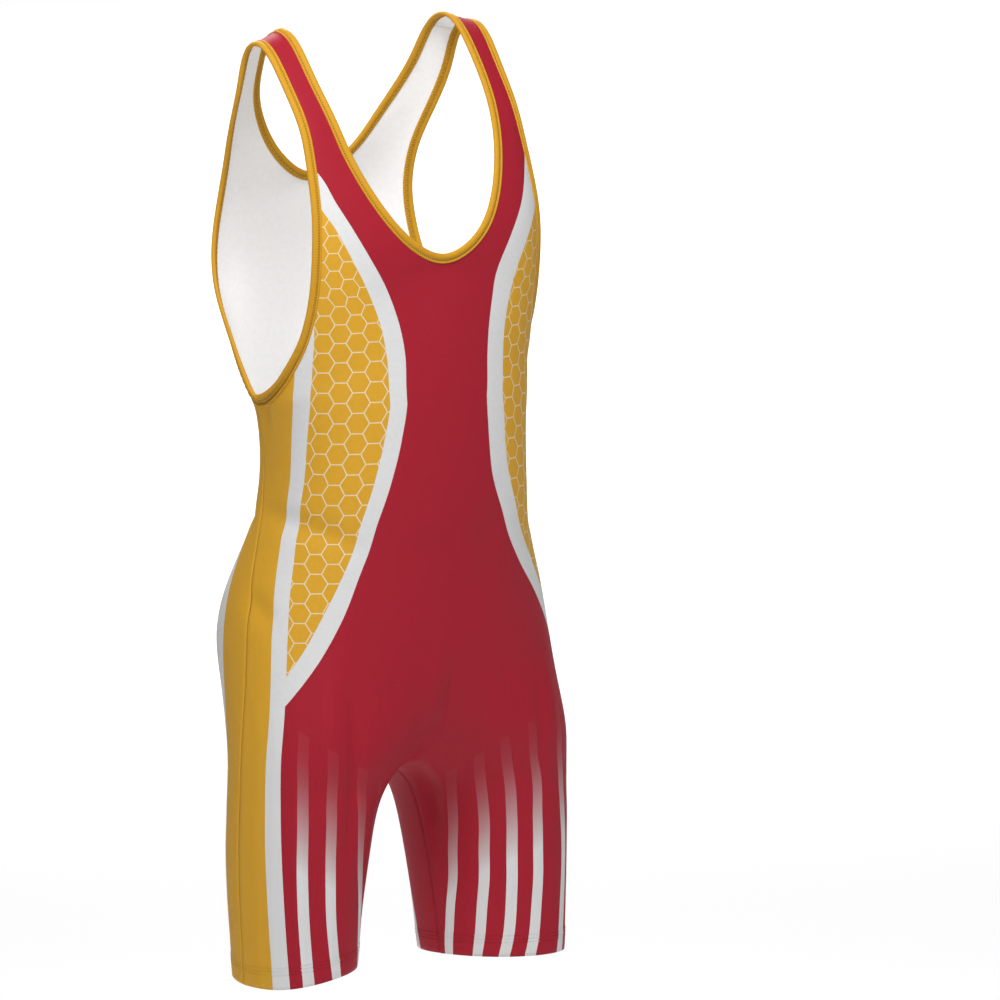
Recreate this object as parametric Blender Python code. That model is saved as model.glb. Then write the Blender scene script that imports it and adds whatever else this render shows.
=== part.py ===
"""Wrestling singlet, filled out as it is worn, with its five cut-and-sewn pieces.

Metres in the scene, millimetres in the tables. +Z is up, the chest faces -Y and the wearer's
left is +X. The origin is between the tops of the shoulder straps, where the wearer holds it up.

Each panel is worked out as half a garment: rows of cloth run from the inner sewn edge (neck,
centre line, then inseam) round to the outer sewn edge (armhole, then side seam). The tables
below give one such row for each section of the body. The other half is its mirror image.
"""

import math

import bpy
import numpy as np

MM = 0.001

# Cloth
WALL = 1.6            # thickness of the panels
SEAM_GAP = 0.3        # between two pieces where they are sewn together
BINDING_WIDTH = 9.0   # visible width of the folded band round neck and armholes
BINDING_PLY = 1.0     # thickness of the band's cloth

# Fineness of the mesh
ROW_STEP = 19.0       # a row of faces at least every so many millimetres down the garment
COLUMNS = 10          # faces across half a panel
ROUNDING_PASSES = 3   # smoothing of the crotch and seat, where four quarters meet

# A row of cloth, in millimetres. in_ is its sewn edge towards the centre, out_ the one towards
# the side. turn_ is the direction in which the cloth runs there, in degrees from +X, positive
# away from the panel's own face of the body, and reach_ how far it keeps to that direction.
COLUMN_NAMES = ("in_x", "in_y", "in_z", "out_x", "out_y", "out_z",
                "turn_in", "reach_in", "turn_out", "reach_out", "corner")

FRONT = {
    # name            in_x  in_y  in_z    out_x out_y out_z  turn reach  turn reach corner
    "shoulder_seam": (97.5, 20,   -10.5,  114.5, 18,  -16,      0,   5,    0,   5, ""),
    "strap_top":     (98,    0,   -2,     116.5, -2,  -8,       0,   6,    0,   6, ""),
    "strap_front":   (98.5, -51,  -51.5,  115.5, -48, -53,      2,   5,   18,   5, ""),
    "collarbone":    (95,   -71,  -82,    115,   -68, -84,      6,   6,   26,   6, ""),
    "strap_mid":     (90,   -84,  -112,   116.5, -78, -114,     8,   9,   30,   9, ""),
    "strap_foot":    (82.5, -94,  -135,   118,   -85, -139,     6,  12,   34,  12, ""),
    "neck_side":     (71,   -104, -160,   120,   -91, -165,     4,  16,   38,  16, ""),
    "neck_turn":     (55,   -112, -184,   122.5, -92, -191,     2,  24,   43,  22, ""),
    "neck_curve":    (36.5, -114, -199.5, 122.5, -90, -215,     0,  32,   47,  28, ""),
    "neck_low":      (17,   -114, -209,   123.5, -87, -238,     0,  44,   52,  34, ""),
    "neck_bottom":   (0,    -113, -212,   125,   -80, -262,     0,  54,   60,  42, "in"),
    "chest":         (0,    -118, -245,   129.5, -66, -291,     0,  64,   70,  48, ""),
    "under_chest":   (0,    -122, -280,   134.5, -40, -317,     0,  74,   84,  60, ""),
    "underarm_row":  (0,    -124, -307,   134,   -10, -332,     0,  86,   97,  80, ""),
    "underarm":      (0,    -125, -328,   127,     6, -334,     0,  92,  103,  94, "out"),
    "ribs":          (0,    -125, -366,   120,     9, -366,     0,  94,  104,  96, ""),
    "waist":         (0,    -124, -402,   118,     9, -402,     0,  96,  104,  96, ""),
    "belly":         (0,    -122, -438,   124,     8, -438,     0,  96,  102,  90, ""),
    "hip_bone":      (0,    -118, -472,   137,     0, -472,     0,  94,   98,  76, ""),
    "hip":           (0,    -114, -513,   153,    -9, -513,     0,  98,   94,  64, ""),
    "hip_low":       (0,    -111, -552,   160,   -14, -552,     0, 102,   92,  64, ""),
    "lap":           (0,    -104, -596,   164,   -15, -598,    -4, 104,   94,  74, ""),
    "groin_top":     (0,    -93,  -630,   167,   -13, -630,   -18, 100,   97,  88, ""),
    "groin":         (0,    -74,  -652,   169,   -12, -654,   -34,  98,   99,  98, ""),
    "groin_low":     (0,    -50,  -665,   170,   -11, -674,   -52,  98,   99, 106, ""),
    "saddle":        (0,    -26,  -671,   170.5, -10, -692,   -66, 104,   98, 117, ""),
    "crotch":        (0,    -4,   -673,   171,    -9, -708,   -76, 113,   97, 128, "in"),
    "inseam_top":    (18,   -4,   -679,   171,    -8, -726,   -82, 114,   97, 127, ""),
    "inseam_curve":  (31,   -4,   -696,   171,    -7, -746,   -85, 114,   97, 124, ""),
    "thigh":         (39,   -4,   -722,   170,    -6, -768,   -86, 114,   97, 122, ""),
    "thigh_mid":     (46,   -4,   -757,   169,    -5, -793,   -86, 112,   98, 118, ""),
    "thigh_low":     (53,   -4,   -803,   167,    -4, -824,   -86, 109,   99, 114, ""),
    "hem":           (58,   -4,   -857,   165.5,  -3, -857,   -86, 106,   99, 112, ""),
}

BACK = {
    # name            in_x  in_y  in_z    out_x out_y out_z  turn reach  turn reach corner
    "shoulder_seam": (97.5,  20,  -10.5,  114.5, 18,  -16,      0,   5,    0,   5, ""),
    "strap_back":    (95,    32,  -36,    114.5, 25,  -41,     10,   6,   24,   6, ""),
    "strap_blade":   (88,    50,  -66,    112.5, 40,  -72,     12,   8,   36,   8, ""),
    "blade":         (69.5,  66,  -100,   107,   57,  -103,     6,  12,   34,  12, ""),
    "neck_side":     (45,    74,  -131,   102,   70,  -132,    -6,  20,   28,  18, ""),
    "neck_curve":    (22,    79,  -148,   102,   76.5, -152,   -6,  28,   24,  24, ""),
    "neck_bottom":   (0,     82,  -155,   103,   80.5, -170,   -4,  36,   26,  30, "in"),
    "racer":         (0,     88,  -185,   107,   82.5, -192,    0,  38,   28,  32, ""),
    "racer_low":     (0,     92,  -214,   111,   81,  -217,     0,  48,   36,  34, ""),
    "shoulder_blade": (0,    93,  -242,   115,   73,  -243,     0,  54,   46,  32, ""),
    "back_side":     (0,     91,  -268,   120,   56,  -266,     0,  62,   58,  33, ""),
    "back_low":      (0,     86,  -293,   128,   34,  -292,     0,  72,   70,  36, ""),
    "underarm_row":  (0,     80,  -314,   130.5, 17,  -317,     0,  76,   76,  40, ""),
    "underarm":      (0,     74,  -333,   127,    6,  -334,     0,  78,   77,  42, "out"),
    "ribs":          (0,     62,  -366,   120,    9,  -366,     0,  76,   76,  34, ""),
    "waist":         (0,     56,  -402,   118,    9,  -402,     0,  74,   76,  30, ""),
    "lumbar":        (0,     61,  -438,   124,    8,  -438,     0,  78,   78,  38, ""),
    "hip_bone":      (0,     77,  -472,   137,    0,  -472,    -6,  84,   82,  58, ""),
    "hip":           (0,     94,  -513,   153,   -9,  -513,   -14,  90,   86,  80, ""),
    "seat":          (0,    101,  -552,   160,  -14,  -552,   -20,  90,   88,  92, ""),
    "seat_low":      (0,     91,  -596,   164,  -15,  -598,   -22,  86,   86,  78, ""),
    "seat_fold":     (0,     72,  -632,   167,  -13,  -630,   -30,  86,   83,  70, ""),
    "saddle_top":    (0,     52,  -653,   169,  -12,  -654,   -46,  86,   81,  68, ""),
    "saddle_back":   (0,     32,  -665,   170,  -11,  -674,   -62,  91,   81,  75, ""),
    "saddle":        (0,     14,  -671,   170.5, -10, -692,   -76,  96,   82,  83, ""),
    "crotch":        (0,     -4,  -673,   171,   -9,  -708,   -88, 104,   83,  92, "in"),
    "inseam_top":    (18,    -4,  -679,   171,   -8,  -726,   -94, 103,   83,  91, ""),
    "inseam_curve":  (31,    -4,  -696,   171,   -7,  -746,   -95, 102,   83,  90, ""),
    "thigh":         (39,    -4,  -722,   170,   -6,  -768,   -94, 100,   83,  88, ""),
    "thigh_mid":     (46,    -4,  -757,   169,   -5,  -793,   -94,  98,   82,  86, ""),
    "thigh_low":     (53,    -4,  -803,   167,   -4,  -824,   -94,  95,   81,  82, ""),
    "hem":           (58,    -4,  -857,   165.5, -3,  -857,   -94,  92,   81,  77, ""),
}


# Rows of faces between a named row and the one above it, from the underarm down. They are the
# same in front and behind, because both panels are sewn together there.
PARTS_BETWEEN = {
    "ribs": 2, "waist": 2, "belly": 2, "lumbar": 2, "hip_bone": 2, "hip": 2, "hip_low": 2,
    "seat": 2, "lap": 2, "seat_low": 2, "groin_top": 1, "seat_fold": 1, "groin": 1,
    "saddle_top": 1, "groin_low": 1, "saddle_back": 1, "saddle": 1, "crotch": 1,
    "inseam_top": 1, "inseam_curve": 1, "thigh": 1, "thigh_mid": 1, "thigh_low": 2, "hem": 2,
}

# The wearer's right leg has ridden up at the inseam and down beside the side seam. Each pair is
# a place across the panel, from 0 at the inseam to 1 at the side seam, and the lift there in mm.
NEAR_HEM = {
    "front": ((0.0, 14.0), (0.35, 10.0), (0.5, 6.5), (0.75, -4.5), (1.0, -3.0)),
    "back": ((0.0, 14.0), (0.6, 5.0), (1.0, -3.0)),
}
HEM_ROWS = 4          # rows of faces over which that lift fades out


def unit(vectors):
    """The same directions at length 1."""
    lengths = np.linalg.norm(vectors, axis=-1, keepdims=True)
    return vectors / np.maximum(lengths, 1e-12)


def resample(points, fractions):
    """Points at the given fractions of a line's length."""
    steps = np.linalg.norm(np.diff(points, axis=0), axis=1)
    along = np.concatenate(([0.0], np.cumsum(steps)))
    wanted = np.asarray(fractions) * along[-1]
    return np.stack([np.interp(wanted, along, points[:, axis]) for axis in range(3)], axis=1)


def row_across(row, facing):
    """One row of cloth: a cubic curve between its sewn edges. facing is -1 in front, 1 behind."""
    start = np.array([row["in_x"], row["in_y"], row["in_z"]], float)
    end = np.array([row["out_x"], row["out_y"], row["out_z"]], float)
    turn_in, turn_out = math.radians(row["turn_in"]), math.radians(row["turn_out"])
    away = -facing
    leave = np.array([math.cos(turn_in), away * math.sin(turn_in), 0.0])
    arrive = np.array([math.cos(turn_out), away * math.sin(turn_out), 0.0])
    fall = (end - start) * (0.0, 0.0, 1.0) / 3
    near = start + leave * row["reach_in"] + fall
    far = end - arrive * row["reach_out"] - fall
    t = np.linspace(0.0, 1.0, 61)[:, None]
    curve = ((1 - t) ** 3 * start + 3 * (1 - t) ** 2 * t * near
             + 3 * (1 - t) * t ** 2 * far + t ** 3 * end)
    return resample(curve, np.linspace(0.0, 1.0, COLUMNS + 1))


def slopes(rows, knots, corners):
    """Slopes of each column before and after each row, broken at an edge that turns a corner."""
    gaps = np.diff(knots)[:, None, None]
    steps = np.diff(rows, axis=0) / gaps
    middle = (steps[:-1] * gaps[1:] + steps[1:] * gaps[:-1]) / (gaps[1:] + gaps[:-1])
    both = np.concatenate((steps[:1], middle, steps[-1:]))
    before, after = both.copy(), both.copy()
    across = np.linspace(0.0, 1.0, rows.shape[1])[:, None]
    for place, corner in enumerate(corners):
        if corner:
            share = (1 - across) ** 3 if corner == "in" else across ** 3
            arriving = 1.5 * steps[place - 1] - 0.5 * both[place - 1]
            leaving = 1.5 * steps[place] - 0.5 * both[place + 1]
            before[place] += share * (arriving - both[place])
            after[place] += share * (leaving - both[place])
    return before, after


def half_panel(table, facing):
    """Points of half a panel, rows by columns, and the number of each named row."""
    records = [dict(zip(COLUMN_NAMES, values)) for values in table.values()]
    rows = np.array([row_across(record, facing) for record in records])
    spans = np.linalg.norm(np.diff(rows, axis=0), axis=2)
    knots = np.concatenate(([0.0], np.cumsum(spans.mean(axis=1))))
    before, after = slopes(rows, knots, [record["corner"] for record in records])
    points, marks = [rows[0]], {next(iter(table)): 0}
    for place, name in enumerate(list(table)[1:]):
        gap = knots[place + 1] - knots[place]
        parts = PARTS_BETWEEN[name] if name in PARTS_BETWEEN else max(1, round(gap / ROW_STEP))
        for part in range(1, parts + 1):
            t = part / parts
            points.append((2 * t ** 3 - 3 * t ** 2 + 1) * rows[place]
                          + (t ** 3 - 2 * t ** 2 + t) * gap * after[place]
                          + (3 * t ** 2 - 2 * t ** 3) * rows[place + 1]
                          + (t ** 3 - t ** 2) * gap * before[place + 1])
        marks[name] = len(points) - 1
    return np.array(points), marks


def near_hem_lift(panel, row, rows, column):
    """How far the hem of the wearer's right leg rides up at one point of its last rows."""
    place, lift = zip(*NEAR_HEM[panel])
    share = max(0.0, 1.0 - (rows - 1 - row) / HEM_ROWS)
    return share * np.interp(column / COLUMNS, place, lift)


class Cloth:
    """The whole garment's middle surface: points, and faces marked with the panel they are in."""

    def __init__(self):
        self.points = []
        self.faces = []
        self.panels = []

    def add(self, point):
        self.points.append(np.asarray(point, float))
        return len(self.points) - 1


def build_surface():
    """Both panels' grids in one surface that shares its points at the seams and the centre."""
    cloth = Cloth()
    grids = {}
    for panel, table, facing in (("front", FRONT, -1), ("back", BACK, 1)):
        half, marks = half_panel(table, facing)
        for side in (1, -1):
            index = np.zeros(half.shape[:2], int)
            for row in range(half.shape[0]):
                for column in range(half.shape[1]):
                    point = half[row, column] * (side, 1, 1)
                    if side == -1:
                        point[2] += near_hem_lift(panel, row, half.shape[0], column)
                    index[row, column] = shared_point(cloth, grids, panel, side, marks, row, column,
                                                      point)
            grids[panel, side] = (index, marks)
            for row in range(half.shape[0] - 1):
                for column in range(half.shape[1] - 1):
                    face = [index[row, column], index[row + 1, column],
                            index[row + 1, column + 1], index[row, column + 1]]
                    if side * facing > 0:
                        face.reverse()
                    cloth.faces.append(face)
                    cloth.panels.append(panel)
    return cloth, grids


def shared_point(cloth, grids, panel, side, marks, row, column, point):
    """The number of a grid point, which a seam or the centre line may already have made."""
    last = COLUMNS
    centre = marks["neck_bottom"] <= row <= marks["crotch"]
    if side == -1 and column == 0 and centre:
        return grids[panel, 1][0][row, 0]
    if panel == "back":
        other, other_marks = grids["front", side]
        if row == 0:
            return other[0, column]
        if column == last and row >= marks["underarm"]:
            return other[other_marks["underarm"] + row - marks["underarm"], last]
        if column == 0 and row >= marks["crotch"]:
            return other[other_marks["crotch"] + row - marks["crotch"], 0]
    return cloth.add(point)


def round_off(cloth, grids):
    """Smooths the crotch, where the rows of both legs and both panels meet at one point."""
    points = np.array(cloth.points)
    neighbours = [set() for _ in points]
    for face in cloth.faces:
        for place, number in enumerate(face):
            neighbours[number].update((face[place - 1], face[(place + 1) % len(face)]))
    front, marks = grids["front", 1]
    crotch = points[front[marks["crotch"], 0]]
    distance = np.linalg.norm((points - crotch) * (1.0, 0.8, 1.0), axis=1)
    weight = np.clip((95.0 - distance) / 60.0, 0.0, 1.0)[:, None] * 0.5
    for _ in range(ROUNDING_PASSES):
        average = np.array([points[list(near)].mean(axis=0) for near in neighbours])
        points += weight * (average - points)
    cloth.points = list(points)


def normals_of(cloth):
    """Outward direction of the cloth at each point, the mean of its faces."""
    points = np.array(cloth.points)
    totals = np.zeros_like(points)
    for face in cloth.faces:
        a, b, c, d = (points[number] for number in face)
        normal = np.cross(c - a, d - b)
        for number in face:
            totals[number] += normal
    return unit(totals)


def edge_loops(grids):
    """The sewn edges that a binding goes round, as closed loops of points of the surface."""
    loops = {}
    quarters = {}
    for panel in ("front", "back"):
        for side in (1, -1):
            index, marks = grids[panel, side]
            quarters[panel, side, "neck"] = list(index[:marks["neck_bottom"] + 1, 0])
            quarters[panel, side, "arm"] = list(index[:marks["underarm"] + 1, COLUMNS])
    loops["neck"] = (quarters["front", 1, "neck"][:-1] + quarters["front", -1, "neck"][::-1]
                     + quarters["back", -1, "neck"][1:-1] + quarters["back", 1, "neck"][::-1][:-1])
    for name, side in (("left", 1), ("right", -1)):
        loops[name] = (quarters["front", side, "arm"]
                       + quarters["back", side, "arm"][::-1][1:-1])
    return loops


def outward_at(loop, points, normals):
    """Directions in the cloth, square to an edge loop and away from the panel."""
    ring = points[loop]
    tangent = unit(np.roll(ring, -1, axis=0) - np.roll(ring, 1, axis=0))
    out = unit(np.cross(tangent, normals[loop]))
    middle = ring.mean(axis=0)
    if np.sum((middle - ring) * out) < 0:
        out = -out
    return out


def band_section():
    """Cross-section of a folded band: (outward, off the cloth) from the sewn edge."""
    slot = WALL / 2 + SEAM_GAP
    outer = slot + BINDING_PLY
    sewn, fold = 0.8, BINDING_WIDTH
    return [(sewn, slot), (sewn, outer), (fold - 1.0, outer), (fold, 0.0), (fold - 1.0, -outer),
            (sewn, -outer), (sewn, -slot), (fold - BINDING_PLY, -slot), (fold - BINDING_PLY, slot)]


def make_object(name, points, faces, colour):
    """A mesh object in metres, shaded smooth but for its cut edges."""
    mesh = bpy.data.meshes.new(name)
    mesh.from_pydata([tuple(point * MM) for point in points], [], faces)
    mesh.validate()
    mesh.shade_smooth()
    mesh.set_sharp_from_angle(angle=math.radians(50))
    mesh.materials.append(knit_material(name, colour))
    thing = bpy.data.objects.new(name, mesh)
    bpy.context.scene.collection.objects.link(thing)
    return thing


def knit_material(name, colour):
    """Matt polyester knit."""
    material = bpy.data.materials.new(name + "_knit")
    material.use_nodes = True
    shader = material.node_tree.nodes["Principled BSDF"]
    shader.inputs["Base Color"].default_value = (*colour, 1.0)
    shader.inputs["Roughness"].default_value = 0.6
    shader.inputs["Metallic"].default_value = 0.0
    return material


def make_band(name, loop, points, normals, colour):
    """A binding: a folded band swept round an edge loop.

    Its faces are cut along the same diagonals as the strips of panel inside it, so that the
    two keep their gap where the cloth twists.
    """
    out = outward_at(loop, points, normals)
    section = band_section()
    band = [points[number] + o * out[place] + n * normals[number]
            for place, number in enumerate(loop) for o, n in section]
    count, sides = len(loop), len(section)
    faces = []
    for place in range(count):
        here, there = place * sides, (place + 1) % count * sides
        for side in range(sides):
            after = (side + 1) % sides
            a, b, c, d = here + side, there + side, there + after, here + after
            if section[side][0] <= section[after][0]:
                faces += [[a, b, c], [a, c, d]]
            else:
                faces += [[a, b, d], [b, c, d]]
    return make_object(name, band, outward_faces(band, faces), colour)


def outward_faces(points, faces):
    """The same faces, all turned over if they enclose a negative volume."""
    volume = 0.0
    for face in faces:
        for second, third in zip(face[1:], face[2:]):
            volume += np.dot(points[face[0]], np.cross(points[second], points[third]))
    return faces if volume > 0 else [face[::-1] for face in faces]


def make_panel(name, panel, cloth, grids, loops, points, normals, colour):
    """A panel: its part of the surface with the strips inside the bindings, given its wall."""
    faces = [list(face) for face, mark in zip(cloth.faces, cloth.panels) if mark == panel]
    middle = {number: points[number] for face in faces for number in face}
    facing = {number: normals[number] for number in middle}
    shift = seam_shifts(panel, grids, middle)
    strip = BINDING_WIDTH - BINDING_PLY - SEAM_GAP
    runs = directed_edges(faces)
    fresh = len(points)
    for loop in loops.values():
        out = outward_at(loop, points, normals)
        raw = {}
        for place, number in enumerate(loop):
            if number in middle:
                raw[number] = fresh
                middle[fresh] = points[number] + strip * out[place]
                facing[fresh] = normals[number]
                if number in shift:
                    shift[fresh] = shift[number]
                fresh += 1
        for number, following in zip(loop, loop[1:] + loop[:1]):
            if (number, following) in runs:
                faces += [[following, number, raw[following]],
                          [number, raw[number], raw[following]]]
            elif (following, number) in runs:
                faces += [[number, following, raw[following]],
                          [number, raw[following], raw[number]]]
    return thicken(name, middle, facing, shift, faces, colour)


def directed_edges(faces):
    """Every edge of the faces, in the direction in which its face runs."""
    return {(face[place - 1], face[place]) for face in faces for place in range(len(face))}


def seam_shifts(panel, grids, middle):
    """Half the seam gap, into the panel, at each point on a seam."""
    shift = {}
    for side in (1, -1):
        index, marks = grids[panel, side]
        for row in range(marks["underarm"], index.shape[0]):
            shift[index[row, -1]] = middle[index[row, -2]] - middle[index[row, -1]]
        for row in range(marks["crotch"] + 1, index.shape[0]):
            shift[index[row, 0]] = middle[index[row, 1]] - middle[index[row, 0]]
        for column in range(index.shape[1]):
            shift[index[0, column]] = middle[index[1, column]] - middle[index[0, column]]
        crotch = marks["crotch"]
        shift[index[crotch, 0]] = middle[index[crotch - 1, 0]] - middle[index[crotch, 0]]
    return {number: unit(move) * SEAM_GAP / 2 for number, move in shift.items()}


def thicken(name, middle, facing, shift, faces, colour):
    """A wall round the middle surface, closed along its open edges."""
    numbers = sorted(middle)
    place_of = {number: place for place, number in enumerate(numbers)}
    count = len(numbers)
    base = np.array([middle[n] + shift.get(n, np.zeros(3)) for n in numbers])
    off = np.array([facing[n] for n in numbers]) * WALL / 2
    points = np.concatenate((base + off, base - off))
    outer = [[place_of[number] for number in face] for face in faces]
    inner = [[place + count for place in reversed(face)] for face in outer]
    edges = directed_edges(outer)
    rim = [[b, a, a + count, b + count] for a, b in edges if (b, a) not in edges]
    whole = outer + inner + sorted(rim)
    return make_object(name, points, outward_faces(points, whole), colour)


def clear_scene():
    for thing in list(bpy.data.objects):
        bpy.data.objects.remove(thing, do_unlink=True)


def build():
    clear_scene()
    cloth, grids = build_surface()
    round_off(cloth, grids)
    points, normals = np.array(cloth.points), normals_of(cloth)
    loops = edge_loops(grids)
    red, yellow = (0.38, 0.022, 0.038), (0.72, 0.40, 0.055)
    make_panel("front_panel", "front", cloth, grids, loops, points, normals, red)
    make_panel("back_panel", "back", cloth, grids, loops, points, normals, red)
    make_band("neck_binding", loops["neck"], points, normals, yellow)
    make_band("armhole_binding_left", loops["left"], points, normals, yellow)
    make_band("armhole_binding_right", loops["right"], points, normals, yellow)


build()
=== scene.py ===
"""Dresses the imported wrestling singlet: printed knit, bindings, stitching, creases, light."""
import math

import bmesh
import bpy
import numpy as np
from mathutils import Matrix, Vector
from mathutils.bvhtree import BVHTree
from mathutils.kdtree import KDTree


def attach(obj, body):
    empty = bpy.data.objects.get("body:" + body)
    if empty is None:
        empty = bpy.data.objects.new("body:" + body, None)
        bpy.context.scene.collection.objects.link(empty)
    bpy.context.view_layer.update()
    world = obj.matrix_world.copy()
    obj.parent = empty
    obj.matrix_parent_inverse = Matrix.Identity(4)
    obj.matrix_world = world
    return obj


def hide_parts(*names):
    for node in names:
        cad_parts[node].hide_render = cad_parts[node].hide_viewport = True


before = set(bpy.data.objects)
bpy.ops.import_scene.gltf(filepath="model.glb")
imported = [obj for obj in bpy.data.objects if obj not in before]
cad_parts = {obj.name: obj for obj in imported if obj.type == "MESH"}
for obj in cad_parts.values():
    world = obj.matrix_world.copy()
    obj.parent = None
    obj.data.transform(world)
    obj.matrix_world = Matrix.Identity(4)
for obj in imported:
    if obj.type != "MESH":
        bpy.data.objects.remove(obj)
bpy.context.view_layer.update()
MM = 0.001

# --- Display floor, studio and camera ------------------------------------------------------
# A plain pale floor well below the legs, wide softboxes, and a long lens. The singlet is shown
# held out by its straps, its chest turned a little to the left, seen from slightly above.
CAMERA_TURN, CAMERA_RAISE, CAMERA_ROLL = 38.0, 7.5, 1.4   # degrees
CAMERA_DISTANCE, SENSOR = 16.0, 36.0   # m and mm
PICTURE, MM_PER_PIXEL = 1000, 0.9
STRAP_PIXEL = (362.0, 19.0)            # where the origin is in the picture
SOFTBOXES = (                          # name, place, aim and size in m, then watts
    ("top_softbox", (-0.75, -1.0, 1.35), (0, 0, -0.35), 1.1, 43),
    ("left_softbox", (-2.6, -2.0, 0.2), (0, 0, -0.4), 1.6, 13),
    ("right_softbox", (1.7, -2.4, 0.5), (0, 0, -0.3), 1.2, 7),
    ("back_softbox", (1.2, 1.8, 1.2), (0, 0, -0.35), 1.0, 32),
    ("floor_softbox", (5.5, 7.0, 5.0), (5.5, 7.0, 0), 7.0, 760))
ROOM_LIGHT = 0.22                      # the even light from all round
FLOOR_LEVEL, FLOOR_RADIUS = -1.35, 70.0   # m


def linear(code):
    """An sRGB hex colour as the linear RGBA that a shader socket takes."""
    parts = [int(code[place:place + 2], 16) / 255 for place in (1, 3, 5)]
    return tuple(c / 12.92 if c <= 0.04045 else ((c + 0.055) / 1.055) ** 2.4 for c in parts) + (1.0,)


def place_camera():
    """Aims the camera so that the origin falls on its pixel."""
    turn, rise = math.radians(CAMERA_TURN), math.radians(CAMERA_RAISE)
    right = Vector((math.cos(turn), -math.sin(turn), 0))
    forward = Vector((math.sin(turn) * math.cos(rise), math.cos(turn) * math.cos(rise),
                      -math.sin(rise)))
    roll = Matrix.Rotation(math.radians(CAMERA_ROLL), 3, forward)
    right, up = roll @ right, roll @ right.cross(forward)
    across = (PICTURE / 2 - STRAP_PIXEL[0]) * MM_PER_PIXEL * MM
    down = (PICTURE / 2 - STRAP_PIXEL[1]) * MM_PER_PIXEL * MM
    target = right * across - up * down
    data = bpy.data.cameras.new("camera")
    data.sensor_width = SENSOR
    data.lens = SENSOR * CAMERA_DISTANCE / (PICTURE * MM_PER_PIXEL * MM)
    data.clip_end = 200.0
    camera = bpy.data.objects.new("camera", data)
    camera.matrix_world = (Matrix.Translation(target - forward * CAMERA_DISTANCE)
                           @ Matrix((right, up, -forward)).transposed().to_4x4())
    bpy.context.scene.collection.objects.link(camera)
    bpy.context.scene.camera = camera


def add_softbox(name, place, aim, size, watts):
    data = bpy.data.lights.new(name, "AREA")
    data.shape, data.size, data.energy = "DISK", size, watts
    lamp = bpy.data.objects.new(name, data)
    lamp.location = place
    lamp.rotation_euler = (Vector(aim) - Vector(place)).to_track_quat("-Z", "Y").to_euler()
    bpy.context.scene.collection.objects.link(lamp)


def make_material(name):
    """A new material, its node tree and its shader."""
    material = bpy.data.materials.new(name)
    material.use_nodes = True
    return material, material.node_tree, material.node_tree.nodes["Principled BSDF"]


place_camera()
bpy.context.scene.view_settings.view_transform = "Standard"
for softbox in SOFTBOXES:
    add_softbox(*softbox)
world = bpy.data.worlds.new("studio")
world.use_nodes = True
world.node_tree.nodes["Background"].inputs["Color"].default_value = linear("#FFFFFF")
world.node_tree.nodes["Background"].inputs["Strength"].default_value = ROOM_LIGHT
bpy.context.scene.world = world

floor_mesh = bmesh.new()
bmesh.ops.create_circle(floor_mesh, cap_ends=True, segments=96, radius=FLOOR_RADIUS)
bmesh.ops.translate(floor_mesh, verts=floor_mesh.verts, vec=(0, 0, FLOOR_LEVEL))
floor_data = bpy.data.meshes.new("floor")
floor_mesh.to_mesh(floor_data)
floor_paint, _, floor_shader = make_material("matt_white_studio_floor")
floor_shader.inputs["Base Color"].default_value = linear("#FDFDFD")
floor_shader.inputs["Roughness"].default_value = 0.9
floor_data.materials.append(floor_paint)
floor = bpy.data.objects.new("floor", floor_data)
bpy.context.scene.collection.objects.link(floor)

# --- The worn surface ----------------------------------------------------------------------
# Front and back are printed knit, cut and sewn at the shoulders, sides and inseams. One fine
# sheet is laid over both solids and eased smooth, then parted again along the seams.
PANEL_NAMES = ("front_panel", "back_panel")
WELD = 0.01 * MM           # points this near are one
SEAM_REACH = 0.5 * MM      # the two panels' outer faces are this near at a seam
WALL_REACH = 1.75 * MM     # an edge shorter than this may cross a panel's wall
WALL_SLANT = 0.3           # how far it then leans out of the face
FINENESS = 5               # cuts in each edge of the solids
EASING = 30                # passes of smoothing
ROUNDING = (0.5, -0.52) * 160   # shares moved in passes along the neck and arm edges alone
STRAP_FOOT = -0.40         # above this height, an open edge is a neck or arm edge
EDGE_PULLS = (             # where the bindings pull the cloth: middle, reach and pull, in mm
    ((129, -24, -318), 24, (0, -3.0, -7.5)), ((127, 8, -326), 18, (0, 1.0, -2.5)),
    ((0, -100, -205), 34, (0, 0, -2.4)))


def crosses_wall(edge):
    """Whether an edge joins a panel's outer face to its inner one."""
    a, b = edge.verts
    along = b.co - a.co
    return along.length < WALL_REACH and abs(along.normalized().dot(a.normal)) > WALL_SLANT


def island_of(face):
    """All faces joined to this one."""
    found, waiting = {face}, [face]
    while waiting:
        for edge in waiting.pop().edges:
            for other in edge.link_faces:
                if other not in found:
                    found.add(other)
                    waiting.append(other)
    return found


def runs_of(edges):
    """Edges as runs of joined vertices, an open run from one of its ends."""
    following = {}
    for edge in edges:
        for a, b in (edge.verts, reversed(edge.verts)):
            following.setdefault(a, []).append(b)
    runs, seen = [], set()
    for start in sorted(following, key=lambda vertex: len(following[vertex])):
        if start in seen:
            continue
        run, here = [], start
        while here is not None:
            seen.add(here)
            run.append(here)
            here = next((v for v in following[here] if v not in seen), None)
        runs.append(run)
    return runs


def open_loops(skin):
    """The sheet's open edges as closed runs of vertices."""
    return runs_of([edge for edge in skin.edges if edge.is_boundary])


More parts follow.
